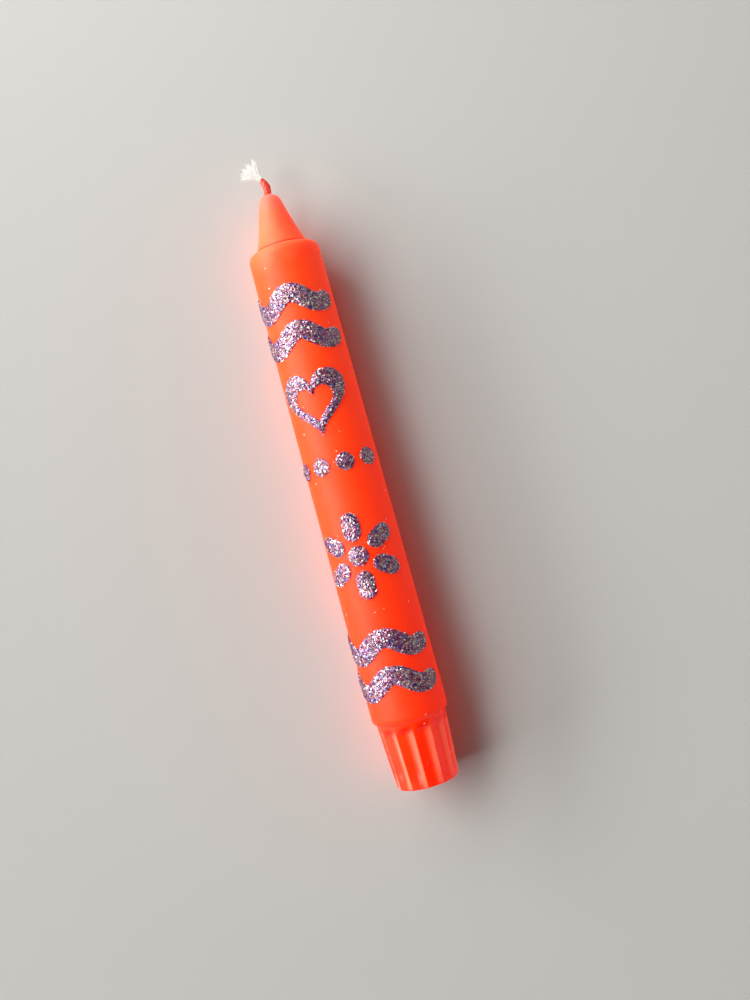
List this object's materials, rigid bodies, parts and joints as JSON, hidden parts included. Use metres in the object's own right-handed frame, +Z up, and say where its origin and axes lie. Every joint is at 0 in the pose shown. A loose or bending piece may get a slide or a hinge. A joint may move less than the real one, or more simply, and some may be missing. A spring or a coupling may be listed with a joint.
{
  "type": "taper candle",
  "caption": "Neon orange household taper candle with a fluted foot, a dipped coat, a cotton wick and an ornament of glitter paint, lying on its side.",
  "frame": {"origin": "on the surface that the candle lies on, below the middle of its whole length, in the plane of its axis", "axes": "+X along the candle, from the foot's end to the wick; +Z up, away from the surface that it lies on; +Y is the side that the wick leans to. The axis itself dips 0.37 degrees towards the wick, because the shaft tapers and lies on its flank"},
  "size_m": [0.192, 0.0236, 0.0234],
  "materials": {
    "white_paraffin": "cast paraffin wax, white, waxy satin",
    "neon_wax": "dipped wax, fluorescent orange-red, satin, a little translucent",
    "cotton_braid": "braided bleached cotton, matt",
    "glitter_paint": "clear glue full of violet and silver foil flakes, sparkling"
  },
  "bodies": {
    "root": {"wax_core": "white_paraffin", "colour_coat": "neon_wax", "wick": "cotton_braid", "wick_dip_film": "neon_wax", "wick_fray": "cotton_braid", "glitter_wave_1": "glitter_paint", "glitter_wave_2": "glitter_paint", "glitter_wave_3": "glitter_paint", "glitter_wave_4": "glitter_paint", "glitter_petal_1": "glitter_paint", "glitter_petal_2": "glitter_paint", "glitter_petal_3": "glitter_paint", "glitter_petal_4": "glitter_paint", "glitter_petal_5": "glitter_paint", "glitter_petal_6": "glitter_paint", "glitter_flower_centre": "glitter_paint", "glitter_dot_1": "glitter_paint", "glitter_dot_2": "glitter_paint", "glitter_dot_3": "glitter_paint", "glitter_dot_4": "glitter_paint", "glitter_dot_5": "glitter_paint", "glitter_heart": "glitter_paint"}
  },
  "joints": []
}
